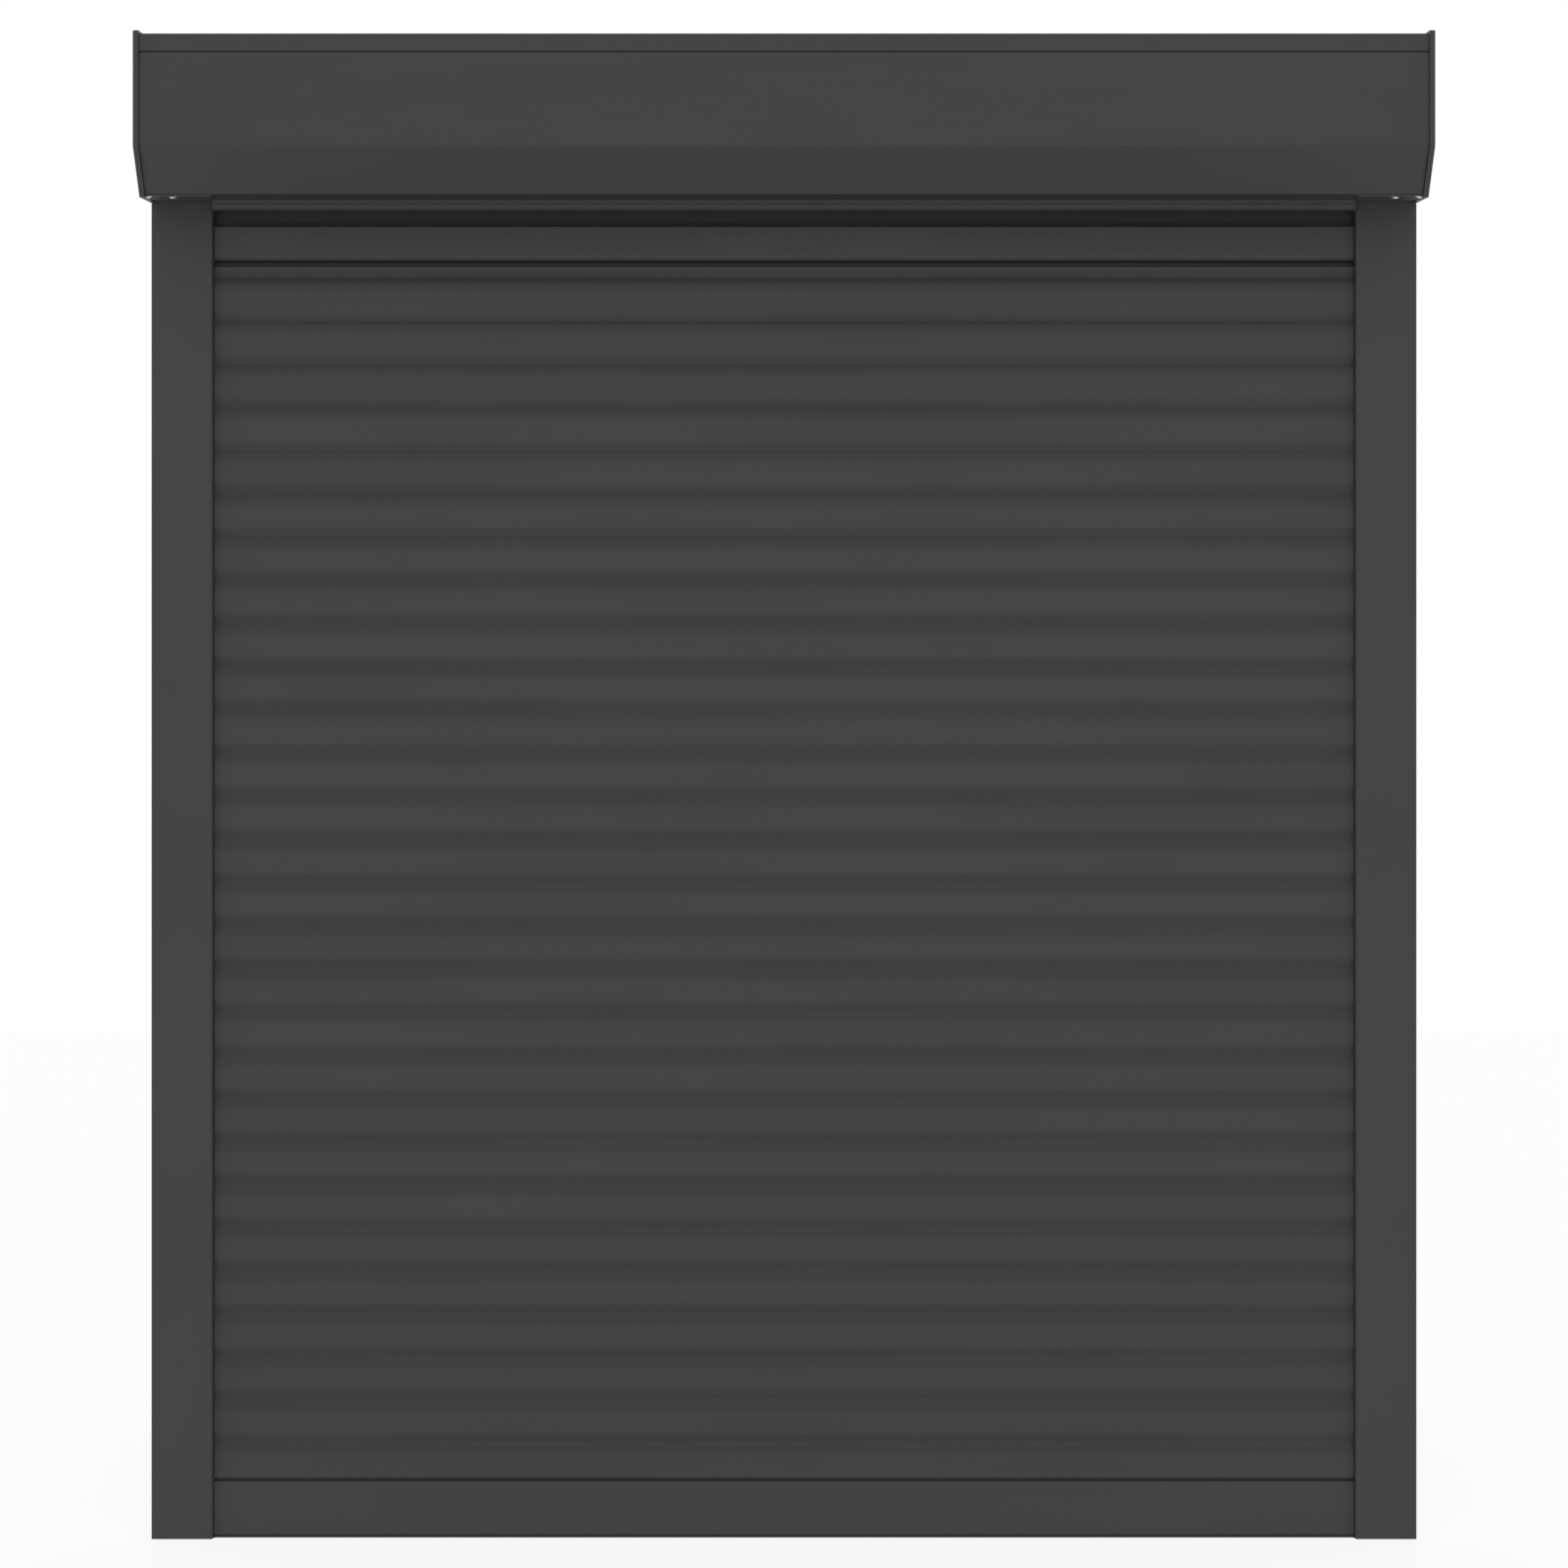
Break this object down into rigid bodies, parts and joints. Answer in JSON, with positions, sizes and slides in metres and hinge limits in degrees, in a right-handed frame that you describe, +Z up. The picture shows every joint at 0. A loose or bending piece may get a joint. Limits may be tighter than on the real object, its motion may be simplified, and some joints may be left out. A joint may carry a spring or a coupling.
{
  "type": "exterior roller shutter",
  "caption": "Window roller shutter with a bevelled box on top, side guide rails, interlocking hollow slats, an end bar and a tubular motor inside the winding tube.",
  "frame": {"origin": "on the centre line, at the sill, midway between the wall and the box's front", "axes": "+Z up, +Y towards the wall, +X to the right as seen from outside"},
  "size_m": [1.1, 0.137, 1.3],
  "materials": {
    "slat_paint": "satin",
    "frame_paint": "satin",
    "black_rubber": "matte",
    "black_plastic": "matte",
    "stainless": "satin",
    "galvanised": "satin",
    "spring_steel": "satin",
    "bright_steel": "polished",
    "motor_casing": "satin"
  },
  "bodies": {
    "box_and_rails": {"guide_rail_left": "frame_paint", "guide_rail_right": "frame_paint", "end_cap_left": "frame_paint", "end_cap_right": "frame_paint", "box_rear_shell": "frame_paint", "box_front_panel": "frame_paint", "box_bottom_panel": "frame_paint", "rail_strips_left": "black_rubber", "rail_strips_right": "black_rubber", "cable_grommet": "black_rubber", "rail_foot_plugs": "black_plastic", "inlet_guides": "black_plastic", "bearing_holder": "black_plastic", "panel_screws": "stainless", "bracket_screws": "stainless", "motor_bracket": "galvanised", "bearing_outer_ring": "bright_steel", "tubular_motor": "motor_casing"},
    "lower_bar": {"end_bar": "slat_paint", "end_bar_seal": "black_rubber", "end_bar_plugs": "black_plastic"},
    "slat_01_body": {"slat_01": "slat_paint"},
    "slat_02_body": {"slat_02": "slat_paint"},
    "slat_03_body": {"slat_03": "slat_paint"},
    "slat_04_body": {"slat_04": "slat_paint"},
    "slat_05_body": {"slat_05": "slat_paint"},
    "slat_06_body": {"slat_06": "slat_paint"},
    "slat_07_body": {"slat_07": "slat_paint"},
    "slat_08_body": {"slat_08": "slat_paint"},
    "slat_09_body": {"slat_09": "slat_paint"},
    "slat_10_body": {"slat_10": "slat_paint"},
    "slat_11_body": {"slat_11": "slat_paint"},
    "slat_12_body": {"slat_12": "slat_paint"},
    "slat_13_body": {"slat_13": "slat_paint"},
    "slat_14_body": {"slat_14": "slat_paint"},
    "slat_15_body": {"slat_15": "slat_paint"},
    "slat_16_body": {"slat_16": "slat_paint"},
    "slat_17_body": {"slat_17": "slat_paint"},
    "slat_18_body": {"slat_18": "slat_paint"},
    "slat_19_body": {"slat_19": "slat_paint"},
    "slat_20_body": {"slat_20": "slat_paint"},
    "slat_21_body": {"slat_21": "slat_paint"},
    "slat_22_body": {"slat_22": "slat_paint"},
    "slat_23_body": {"slat_23": "slat_paint"},
    "slat_24_body": {"slat_24": "slat_paint"},
    "slat_25_body": {"slat_25": "slat_paint"},
    "slat_26_body": {"slat_26": "slat_paint"},
    "slat_27_body": {"slat_27": "slat_paint"},
    "hanger": {"hanger_profile": "slat_paint"},
    "shaft": {"winding_tube": "galvanised", "motor_crown": "black_plastic", "motor_output": "bright_steel", "drive_wheel": "black_plastic", "idler_capsule": "black_plastic", "idler_pin": "bright_steel", "bearing_inner_ring": "bright_steel", "hanger_straps": "spring_steel"}
  },
  "joints": [
    {"name": "curtain_lift", "type": "slide", "parent": "box_and_rails", "child": "lower_bar", "axis": [0, 0, 1], "range_m": [0, 1.1]},
    {"name": "slat_01_lift", "type": "slide", "parent": "box_and_rails", "child": "slat_01_body", "axis": [0, 0, 1], "range_m": [0, 1.073], "deforming": ["slat_01"]},
    {"name": "slat_02_lift", "type": "slide", "parent": "box_and_rails", "child": "slat_02_body", "axis": [0, 0, 1], "range_m": [0, 1.039], "deforming": ["slat_02"]},
    {"name": "slat_03_lift", "type": "slide", "parent": "box_and_rails", "child": "slat_03_body", "axis": [0, 0, 1], "range_m": [0, 1.0051], "deforming": ["slat_03"]},
    {"name": "slat_04_lift", "type": "slide", "parent": "box_and_rails", "child": "slat_04_body", "axis": [0, 0, 1], "range_m": [0, 0.9711], "deforming": ["slat_04"]},
    {"name": "slat_05_lift", "type": "slide", "parent": "box_and_rails", "child": "slat_05_body", "axis": [0, 0, 1], "range_m": [0, 0.9372], "deforming": ["slat_05"]},
    {"name": "slat_06_lift", "type": "slide", "parent": "box_and_rails", "child": "slat_06_body", "axis": [0, 0, 1], "range_m": [0, 0.9033], "deforming": ["slat_06"]},
    {"name": "slat_07_lift", "type": "slide", "parent": "box_and_rails", "child": "slat_07_body", "axis": [0, 0, 1], "range_m": [0, 0.8693], "deforming": ["slat_07"]},
    {"name": "slat_08_lift", "type": "slide", "parent": "box_and_rails", "child": "slat_08_body", "axis": [0, 0, 1], "range_m": [0, 0.8354], "deforming": ["slat_08"]},
    {"name": "slat_09_lift", "type": "slide", "parent": "box_and_rails", "child": "slat_09_body", "axis": [0, 0, 1], "range_m": [0, 0.8014], "deforming": ["slat_09"]},
    {"name": "slat_10_lift", "type": "slide", "parent": "box_and_rails", "child": "slat_10_body", "axis": [0, 0, 1], "range_m": [0, 0.7674], "deforming": ["slat_10"]},
    {"name": "slat_11_lift", "type": "slide", "parent": "box_and_rails", "child": "slat_11_body", "axis": [0, 0, 1], "range_m": [0, 0.7335], "deforming": ["slat_11"]},
    {"name": "slat_12_lift", "type": "slide", "parent": "box_and_rails", "child": "slat_12_body", "axis": [0, 0, 1], "range_m": [0, 0.6995], "deforming": ["slat_12"]},
    {"name": "slat_13_lift", "type": "slide", "parent": "box_and_rails", "child": "slat_13_body", "axis": [0, 0, 1], "range_m": [0, 0.6656], "deforming": ["slat_13"]},
    {"name": "slat_14_lift", "type": "slide", "parent": "box_and_rails", "child": "slat_14_body", "axis": [0, 0, 1], "range_m": [0, 0.6317], "deforming": ["slat_14"]},
    {"name": "slat_15_lift", "type": "slide", "parent": "box_and_rails", "child": "slat_15_body", "axis": [0, 0, 1], "range_m": [0, 0.5977], "deforming": ["slat_15"]},
    {"name": "slat_16_lift", "type": "slide", "parent": "box_and_rails", "child": "slat_16_body", "axis": [0, 0, 1], "range_m": [0, 0.5638], "deforming": ["slat_16"]},
    {"name": "slat_17_lift", "type": "slide", "parent": "box_and_rails", "child": "slat_17_body", "axis": [0, 0, 1], "range_m": [0, 0.5298], "deforming": ["slat_17"]},
    {"name": "slat_18_lift", "type": "slide", "parent": "box_and_rails", "child": "slat_18_body", "axis": [0, 0, 1], "range_m": [0, 0.4958], "deforming": ["slat_18"]},
    {"name": "slat_19_lift", "type": "slide", "parent": "box_and_rails", "child": "slat_19_body", "axis": [0, 0, 1], "range_m": [0, 0.4619], "deforming": ["slat_19"]},
    {"name": "slat_20_lift", "type": "slide", "parent": "box_and_rails", "child": "slat_20_body", "axis": [0, 0, 1], "range_m": [0, 0.428], "deforming": ["slat_20"]},
    {"name": "slat_21_lift", "type": "slide", "parent": "box_and_rails", "child": "slat_21_body", "axis": [0, 0, 1], "range_m": [0, 0.394], "deforming": ["slat_21"]},
    {"name": "slat_22_lift", "type": "slide", "parent": "box_and_rails", "child": "slat_22_body", "axis": [0, 0, 1], "range_m": [0, 0.3601], "deforming": ["slat_22"]},
    {"name": "slat_23_lift", "type": "slide", "parent": "box_and_rails", "child": "slat_23_body", "axis": [0, 0, 1], "range_m": [0, 0.3261], "deforming": ["slat_23"]},
    {"name": "slat_24_lift", "type": "slide", "parent": "box_and_rails", "child": "slat_24_body", "axis": [0, 0, 1], "range_m": [0, 0.2921], "deforming": ["slat_24"]},
    {"name": "slat_25_lift", "type": "slide", "parent": "box_and_rails", "child": "slat_25_body", "axis": [0, 0, 1], "range_m": [0, 0.2582], "deforming": ["slat_25"]},
    {"name": "slat_26_lift", "type": "slide", "parent": "box_and_rails", "child": "slat_26_body", "axis": [0, 0, 1], "range_m": [0, 0.2242], "deforming": ["slat_26"]},
    {"name": "slat_27_lift", "type": "slide", "parent": "box_and_rails", "child": "slat_27_body", "axis": [0, 0, 1], "range_m": [0, 0.1903], "deforming": ["slat_27"]},
    {"name": "hanger_lift", "type": "slide", "parent": "box_and_rails", "child": "hanger", "axis": [0, 0, 1], "range_m": [0, 0.12], "deforming": ["hanger_profile"]},
    {"name": "tube_turn", "type": "hinge", "parent": "box_and_rails", "child": "shaft", "pos_m": [0, 0, 1.2305], "axis": [1, 0, 0], "range_deg": [0, 1620], "deforming": ["hanger_straps"]}
  ],
  "couplings": [
    {"joint": "slat_01_lift", "follows": "curtain_lift", "ratio": 0.97541},
    {"joint": "slat_02_lift", "follows": "curtain_lift", "ratio": 0.94454},
    {"joint": "slat_03_lift", "follows": "curtain_lift", "ratio": 0.91368},
    {"joint": "slat_04_lift", "follows": "curtain_lift", "ratio": 0.88282},
    {"joint": "slat_05_lift", "follows": "curtain_lift", "ratio": 0.85196},
    {"joint": "slat_06_lift", "follows": "curtain_lift", "ratio": 0.82109},
    {"joint": "slat_07_lift", "follows": "curtain_lift", "ratio": 0.79023},
    {"joint": "slat_08_lift", "follows": "curtain_lift", "ratio": 0.75936},
    {"joint": "slat_09_lift", "follows": "curtain_lift", "ratio": 0.7285},
    {"joint": "slat_10_lift", "follows": "curtain_lift", "ratio": 0.69764},
    {"joint": "slat_11_lift", "follows": "curtain_lift", "ratio": 0.66677},
    {"joint": "slat_12_lift", "follows": "curtain_lift", "ratio": 0.63591},
    {"joint": "slat_13_lift", "follows": "curtain_lift", "ratio": 0.60505},
    {"joint": "slat_14_lift", "follows": "curtain_lift", "ratio": 0.57418},
    {"joint": "slat_15_lift", "follows": "curtain_lift", "ratio": 0.54332},
    {"joint": "slat_16_lift", "follows": "curtain_lift", "ratio": 0.51245},
    {"joint": "slat_17_lift", "follows": "curtain_lift", "ratio": 0.48159},
    {"joint": "slat_18_lift", "follows": "curtain_lift", "ratio": 0.45073},
    {"joint": "slat_19_lift", "follows": "curtain_lift", "ratio": 0.41986},
    {"joint": "slat_20_lift", "follows": "curtain_lift", "ratio": 0.389},
    {"joint": "slat_21_lift", "follows": "curtain_lift", "ratio": 0.35814},
    {"joint": "slat_22_lift", "follows": "curtain_lift", "ratio": 0.32727},
    {"joint": "slat_23_lift", "follows": "curtain_lift", "ratio": 0.29641},
    {"joint": "slat_24_lift", "follows": "curtain_lift", "ratio": 0.26554},
    {"joint": "slat_25_lift", "follows": "curtain_lift", "ratio": 0.23468},
    {"joint": "slat_26_lift", "follows": "curtain_lift", "ratio": 0.20382},
    {"joint": "slat_27_lift", "follows": "curtain_lift", "ratio": 0.17295},
    {"joint": "hanger_lift", "follows": "curtain_lift", "ratio": 0.10909},
    {"joint": "tube_turn", "follows": "curtain_lift", "rad_per_m": 25.704}
  ]
}
